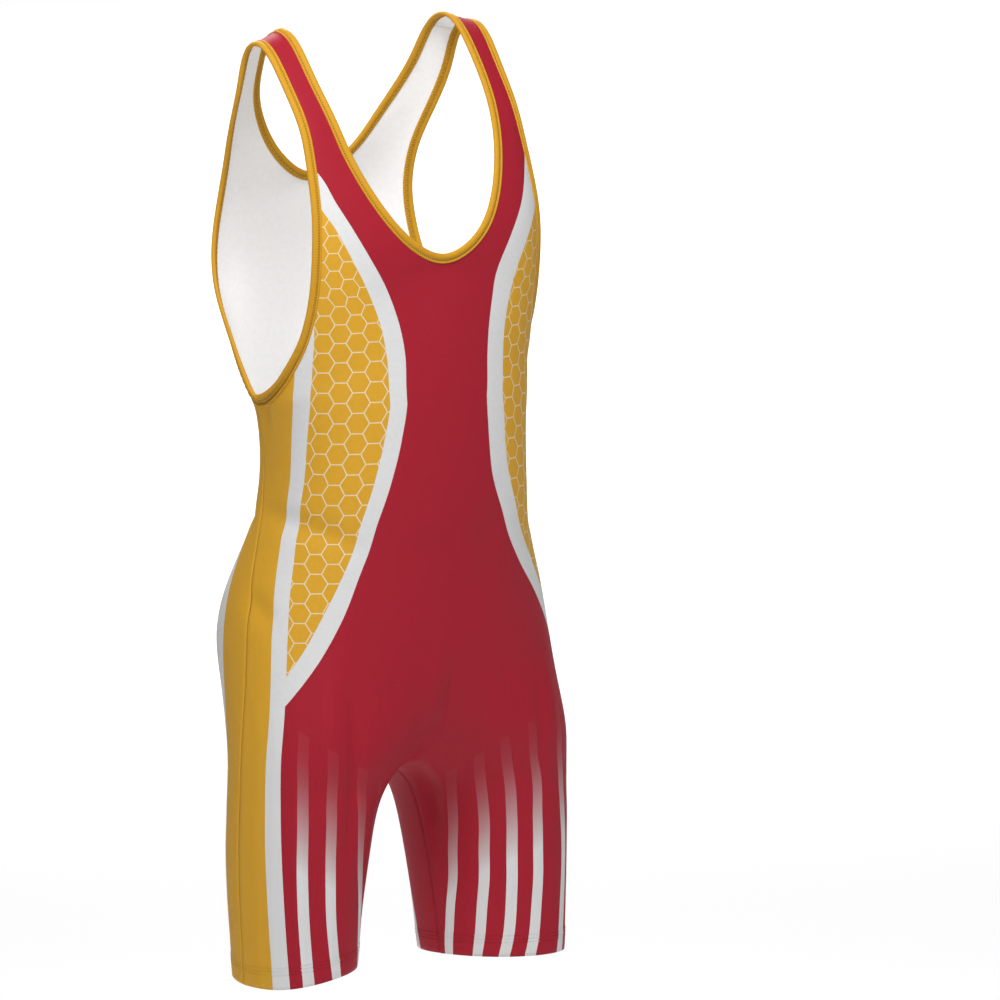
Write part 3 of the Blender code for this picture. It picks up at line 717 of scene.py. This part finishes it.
def print_back(tree, place):
    wall, _ = honeycomb(tree, place, WAIST_PITCH)
    line = add(tree, "ShaderNodeMath", wall, WAIST_LINE, operation="LESS_THAN")
    aside = add(tree, "ShaderNodeMath", read_mark(tree, "from_middle"), operation="ABSOLUTE")
    strength = add(tree, "ShaderNodeMapRange", aside, *WAIST_FADE)
    waist = laid_over(tree, times(tree, line, strength), OLIVE_YELLOW, PALE_LINE)
    red = print_leg_stripes(tree, RED)
    seat = faded_cells(tree, place, red, SEAT_PITCH, SEAT_CELL, SEAT_COLUMNS, SEAT_FADE)
    upper = faded_cells(tree, place, red, UPPER_PITCH, UPPER_CELL, UPPER_COLUMNS, UPPER_FADE)
    colour = laid_over(tree, is_past(tree, "red_below"), seat, WHITE)
    colour = laid_over(tree, is_past(tree, "yellow_below"), colour, waist)
    colour = laid_over(tree, is_past(tree, "yellow_above"), colour, WHITE)
    return laid_over(tree, is_past(tree, "red_above"), colour, upper)


def print_place(tree):
    """Where a point is on the flat cloth, mm."""
    return add(tree, "ShaderNodeCombineXYZ", read_mark(tree, "across"), read_mark(tree, "up"), 0.0)


def hem_waves(tree):
    """The ridges between the rows of stitches that hold a hem."""
    above = read_mark(tree, "above_hem")
    turn = 2 * math.pi / (HEM_ROWS[1] - HEM_ROWS[0])
    wave = add(tree, "ShaderNodeMath", above, turn, -HEM_ROWS[0] * turn, operation="MULTIPLY_ADD")
    wave = add(tree, "ShaderNodeMath", wave, operation="COSINE")
    rows = within(tree, above, HEM_ROWS[0] - ROW_MARGIN, HEM_ROWS[-1] + ROW_MARGIN)
    return times(tree, wave, rows, -HEM_WAVE)


def knit_surface(tree, shader, place, colour, folds=0.0):
    """Smooth warp knit: fine wales and courses, and a dye that takes a little unevenly. The
    loops are 0.7 by 0.5 mm and drawn about twice as coarse, to show at all."""
    turns = (2 * math.pi / WALE, 2 * math.pi / COURSE, 0.0)
    loops = add(tree, "ShaderNodeVectorMath", place, turns, operation="MULTIPLY")
    loops = add(tree, "ShaderNodeVectorMath", loops, operation="SINE")
    parts = add(tree, "ShaderNodeSeparateXYZ", loops).node.outputs
    height = add(tree, "ShaderNodeMath", parts["X"], parts["Y"], folds, operation="MULTIPLY_ADD")
    bump = add(tree, "ShaderNodeBump", *KNIT_BUMP, height)
    tree.links.new(bump, shader.inputs["Normal"])
    dye = add(tree, "ShaderNodeTexNoise", place, *DYE_NOISE)
    shade = add(tree, "ShaderNodeMapRange", dye, 0.3, 0.7, DARKEST_DYE, 1.0)
    shade = add(tree, "ShaderNodeCombineXYZ", shade, shade, shade)
    dyed = add(tree, "ShaderNodeMix", 1.0, colour, shade, data_type="RGBA", blend_type="MULTIPLY")
    tree.links.new(dyed.node.outputs[2], shader.inputs["Base Color"])
    shader.inputs["Roughness"].default_value = 0.62
    shader.inputs["Specular IOR Level"].default_value = 0.16


panels, prints = {}, {}
for number, name in enumerate(PANEL_NAMES):
    cloth = part_sheet(number)
    near = beside(cloth)
    set_out_print(cloth, name, near)
    give_mark(cloth, "above_hem", above_hem[near])
    printed, tree, shader = make_material("sublimated_polyester_knit_" + name)
    place = print_place(tree)
    colour = (print_front if name == "front_panel" else print_back)(tree, place)
    colour = laid_over(tree, is_past(tree, "past_white"), WHITE, colour)
    colour = laid_over(tree, is_past(tree, "past_yellow"), YELLOW, colour)
    knit_surface(tree, shader, place, colour, hem_waves(tree))
    plain, tree, shader = make_material("unprinted_polyester_knit_" + name)
    knit_surface(tree, shader, print_place(tree), INSIDE_WHITE)
    panels[name] = make_piece(name + "_cloth", cloth, "panel_knit", printed, plain)
    doubled = above_hem[near] < HEM_DEPTH
    plies = panels[name].vertex_groups.new(name="plies")
    plies.add(np.flatnonzero(doubled).tolist(), 1.0, "REPLACE")
    plies.add(np.flatnonzero(~doubled).tolist(), 0.5, "REPLACE")
    wall = panels[name].modifiers.new("thickness", "SOLIDIFY")
    wall.thickness, wall.offset, wall.vertex_group = 2 * KNIT_THICKNESS * MM, -1, "plies"
    wall.material_offset = wall.material_offset_rim = 1
    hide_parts(name)
    prints[name] = printed

# --- Neck and armhole bindings -------------------------------------------------------------
# A strip of the same knit, dyed yellow, folded over the raw edge and sewn down through all of
# its layers: a soft roll at the fold, a groove where the stitches pull, and a thin sewn edge.
STATION = 1.2                          # mm between the sections of a binding, two to a stitch
REACH_IN = 9.0                         # mm, where the direction into the cloth is taken
EDGE_PASSES, WAY_PASSES = 4, 6         # passes that even out an edge, and the directions from it
BINDING_SECTION = (                    # from the raw edge into the cloth, and out from it, mm
    (-1.3, 0.0), (-1.15, 0.9), (-0.5, 1.65), (0.6, 2.15), (1.9, 2.3), (3.2, 2.0), (4.2, 1.35),
    (4.8, 0.95), (5.4, 0.9), (6.0, 1.15), (6.6, 1.5), (7.2, 1.45), (7.7, 1.0), (7.8, 0.2),
    (7.8, -0.2), (7.7, -0.8), (7.2, -1.1), (6.0, -1.2), (4.6, -1.1), (3.4, -1.3), (2.2, -1.7),
    (0.7, -1.7), (-0.5, -1.3), (-1.15, -0.7))
STITCH_HOLES = {4.8: 0.35, 5.4: 0.4}   # how deep the needle pulls at those places, mm; shade is painted along them
GATHER_RISE, GATHER_WIDTH = 36, 0.42   # mm of height over which it bunches under an arm, and how
GATHER_FOLDS = {3.2: -1.2, 4.2: 0.5, 4.8: 0.3, 6.6: 0.7, 7.2: 0.5}   # the folds there, mm
GATHER_RIPPLE = (0.12, 6.2)            # height and length of its puckers there, mm
FOLD_SHADE = {1.9: 0.1, 3.2: 0.75, 4.2: 0.2, 4.8: 0.6, 5.4: 1.0, 6.0: 0.5}   # how dark the painted shade is in each of those folds
GATHER_SWELL = 0.2                     # its share of added height there
FOLD_STRENGTH, PAINTED_STITCH_SHADE = 0.8, 0.45  # how dark the painted shade is in the folds, and between the stitches and under the inside thread
INSIDE_SEWN = (3, 7)                   # mm from the raw edge, where thread covers the inside; shade is painted between the threads there
JOIN_RISE, JOIN_LENGTH = 0.6, 1.8      # where the band's two ends lie over each other, mm
# The band's yellow, the brown of the shade painted into it, and the thread's yellow
BAND_YELLOW, PAINTED_SHADE_BROWN, THREAD_YELLOW = linear("#C79224"), linear("#7E5810"), linear("#DDAE44")


def unit(vectors):
    return vectors / np.linalg.norm(vectors, axis=-1, keepdims=True)


def evenly_along(line, step):
    """Places a step apart along a line of points. A closed line repeats its first point."""
    steps = np.concatenate(([0.0], np.cumsum(np.linalg.norm(np.diff(line, axis=0), axis=1))))
    wanted = np.arange(round(steps[-1] / step)) * steps[-1] / round(steps[-1] / step)
    return np.stack([np.interp(wanted, steps, line[:, axis]) for axis in range(3)], axis=1)


def smoothed_ring(values, passes):
    """Evens out values along a closed run."""
    for _ in range(passes):
        values = (np.roll(values, 1, axis=0) + 2 * values + np.roll(values, -1, axis=0)) / 4
    return values


def laid_on_cloth(places):
    """Places brought onto the cloth, and the cloth's direction outwards there."""
    hits = [skin_tree.find_nearest(Vector(place) * MM) for place in places]
    return np.array([hit[0] for hit in hits]) / MM, np.array([hit[1] for hit in hits])


def edge_frames(raw, step):
    """Stations along an opening's raw edge: places, directions along it, into the cloth, out."""
    raw = np.roll(raw, -int(np.argmax(raw[:, 2])), axis=0)
    places = smoothed_ring(evenly_along(np.concatenate((raw, raw[:1])), step), EDGE_PASSES)
    along = unit(np.roll(places, -1, axis=0) - np.roll(places, 1, axis=0))
    inward = np.zeros_like(places)
    for number, (place, way) in enumerate(zip(places, along)):
        _, normal, _, _ = skin_tree.find_nearest(Vector(place) * MM)
        aside = Vector(way).cross(normal) * REACH_IN * MM
        tries = [skin_tree.find_nearest(Vector(place) * MM + aside * sign) for sign in (1, -1)]
        found = min(tries, key=lambda hit: hit[3])[0]
        inward[number] = np.array(found) / MM - place
    inward = unit(smoothed_ring(unit(inward), WAY_PASSES))
    inward = unit(inward - along * (inward * along).sum(axis=1)[:, None])
    outward = np.cross(along, inward)
    _, normals = laid_on_cloth(places + inward * REACH_IN / 2)
    return places, along, inward, outward * np.sign((outward * normals).sum())


def sweep(places, inward, outward, section, sink, gather, join):
    """A closed band of the given section along closed stations, wide and folded by gather, its
    ends joined at one station. Each point keeps its share of painted shade: in the stitch holes,
    between the stitches, under the inside thread and in the gathered folds."""
    mesh = bmesh.new()
    station = mesh.verts.layers.int.new("station")
    shade = mesh.verts.layers.float.new("painted_shade")
    ring = bmesh.ops.create_circle(mesh, segments=len(places), radius=1.0)["verts"]
    for number, vertex in enumerate(ring):
        vertex[station] = number
    edges = list(mesh.edges)
    for turn, (reach, height) in enumerate(section + section[:1]):
        if turn:
            made = bmesh.ops.extrude_edge_only(mesh, edges=edges)["geom"]
            ring = [g for g in made if isinstance(g, bmesh.types.BMVert)]
            edges = [g for g in made if isinstance(g, bmesh.types.BMEdge)
                     and all(v in set(ring) for v in g.verts)]
        for vertex in ring:
            at = vertex[station]
            outside = height > 0
            pulled = STITCH_HOLES.get(reach, 0) if at % 2 and outside else 0
            under_thread = INSIDE_SEWN[0] < reach < INSIDE_SEWN[1]
            painted_shade = reach in STITCH_HOLES if outside else under_thread
            # Painted shade in the folds where the band gathers under an arm
            folded = FOLD_STRENGTH * gather[at] * outside * FOLD_SHADE.get(reach, 0)
            # Painted shade: full in the stitch holes, less between the stitches and under the inside
            # thread, and in the gathered folds
            vertex[shade] = max(painted_shade * (1.0 if pulled else PAINTED_STITCH_SHADE), folded)
            from_join = min(abs(at - join), len(places) - abs(at - join)) * STATION
            ripple = GATHER_RIPPLE[0] * math.sin(2 * math.pi * at * STATION / GATHER_RIPPLE[1])
            high = height * (1 + gather[at] * (GATHER_SWELL + ripple * outside))
            high += gather[at] * outside * GATHER_FOLDS.get(reach, 0)
            high += JOIN_RISE * outside * math.exp(-(from_join / JOIN_LENGTH) ** 2)
            wide = max(reach, 0) * (1 + GATHER_WIDTH * gather[at]) + min(reach, 0)
            vertex.co = Vector(places[at] + inward[at] * wide
                               + outward[at] * (high - pulled - sink)) * MM
    bmesh.ops.remove_doubles(mesh, verts=mesh.verts, dist=WELD)
    bmesh.ops.recalc_face_normals(mesh, faces=mesh.faces)
    return mesh


def place_in_mm(tree):
    place = add(tree, "ShaderNodeTexCoord").node.outputs["Object"]
    return add(tree, "ShaderNodeVectorMath", place, (1 / MM,) * 3, operation="MULTIPLY")


bound_lines = {}
for line in edge_lines:
    if line[:, 2].max() * MM > STRAP_FOOT:
        if line[:, 0].min() < 0 < line[:, 0].max():
            bound_lines["neck_binding"] = line
        else:
            hand = "left" if line[0, 0] > 0 else "right"
            bound_lines["armhole_binding_" + hand] = line
bindings, binding_frames = {}, {}
dyed, tree, shader = make_material("dyed_knit_band_with_painted_shade")
# Painted shade: the band's yellow darkened towards brown in its stitch holes, between its stitches
# and threads, and in its gathered folds
colour = laid_over(tree, read_mark(tree, "painted_shade"), BAND_YELLOW, PAINTED_SHADE_BROWN)
knit_surface(tree, shader, place_in_mm(tree), colour)
spun, tree, shader = make_material("spun_polyester_thread")
knit_surface(tree, shader, place_in_mm(tree), THREAD_YELLOW)
for name, line in bound_lines.items():
    binding_frames[name] = edge_frames(line, STATION)
    places, along, inward, outward = binding_frames[name]
    gather = np.exp(-((places[:, 2] - places[:, 2].min()) / GATHER_RISE) ** 2)
    gather *= name != "neck_binding"
    join = int(np.argmax(gather)) if gather.any() else 0
    band = sweep(places, inward, outward, BINDING_SECTION, KNIT_THICKNESS / 2, gather, join)
    bindings[name] = make_piece(name + "_band", band, "binding_knit", dyed)
    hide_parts(name)

# --- Thread --------------------------------------------------------------------------------
# Polyester thread, sewn by a coverstitch machine: three rows round each hem, a row on each side
# of every seam, and on the bindings a straight row outside and slanted loops over the edge inside.
STITCH = (1.9, 0.55, 0.4)              # mm long, wide and high
SEAM_PITCH = 2.6                       # mm
SEAM_ROW = 1.9                         # mm from the seam
BINDING_ROW = (5.1, 1.05)              # from the raw edge and out from the cloth, mm
INSIDE_LOOP = (5.6, -1.35, 4.4)        # the same, and the loop's length
LOOP_SLANT = 0.45
STITCH_LIFT = 0.05                     # mm that a panel's stitches stand off the cloth


def sew(spots, places, along, outward, size):
    """Adds where each stitch of a row goes, with its turn and size, to a list."""
    length, width, height = size
    for place, way, out in zip(places, along, outward):
        aside = np.cross(out, way)
        turned = Matrix((aside * width / 2, out * height / 2, way * length / 2)).transposed()
        spots.append(Matrix.Translation(Vector(place) * MM) @ (turned * MM).to_4x4())


def thread_on(spots):
    """One rounded stitch, copied to every spot."""
    mesh = bmesh.new()
    number = mesh.verts.layers.int.new("number")
    bmesh.ops.create_uvsphere(mesh, u_segments=6, v_segments=4, radius=1.0)
    made = 1
    while made < len(spots):
        more = min(made, len(spots) - made)
        ready = [v for v in mesh.verts if v[number] < more]
        ready += {e for v in ready for e in v.link_edges} | {f for v in ready for f in v.link_faces}
        for item in bmesh.ops.duplicate(mesh, geom=ready)["geom"]:
            if isinstance(item, bmesh.types.BMVert):
                item[number] += made
        made += more
    for vertex in mesh.verts:
        vertex.co = spots[vertex[number]] @ vertex.co
    return mesh


for name, (places, along, inward, outward) in binding_frames.items():
    spots = []
    places, along, inward, outward = places[::2], along[::2], inward[::2], outward[::2]
    reach, rise = BINDING_ROW
    sew(spots, places + inward * reach + outward * (rise - KNIT_THICKNESS / 2), along, outward,
        STITCH)
    reach, rise, length = INSIDE_LOOP
    lean = LOOP_SLANT * np.where(np.arange(len(places)) % 2, 1, -1)[:, None]
    sew(spots, places + inward * reach + outward * (rise - KNIT_THICKNESS / 2),
        unit(inward + lean * along), -outward, (length, *STITCH[1:]))
    make_piece(name + "_stitching", thread_on(spots), "binding_knit", spun)

rows = []
for line in hem_lines:
    places, along, inward, _ = edge_frames(line, SEAM_PITCH)
    for reach in HEM_ROWS:
        rows.append((laid_on_cloth(places + inward * reach), along))
for line in seam_lines:
    places = evenly_along(line, SEAM_PITCH)
    along = unit(np.gradient(places, axis=0))
    places, outward = laid_on_cloth(places)
    aside = unit(np.cross(outward, along))
    for side in (1, -1):
        rows.append((laid_on_cloth(places + aside * side * SEAM_ROW), along))
sheet.faces.ensure_lookup_table()
for number, name in enumerate(PANEL_NAMES):
    spots = []
    for (places, outward), along in rows:
        faces = [skin_tree.find_nearest(Vector(place) * MM)[2] for place in places]
        ours = [at for at, face in enumerate(faces) if sheet.faces[face][piece_layer] == number]
        sew(spots, (places + outward * STITCH_LIFT)[ours], along[ours], outward[ours], STITCH)
    thread = thread_on(spots)
    set_out_print(thread, name, beside(thread))
    make_piece(name + "_stitching", thread, "panel_knit", prints[name])
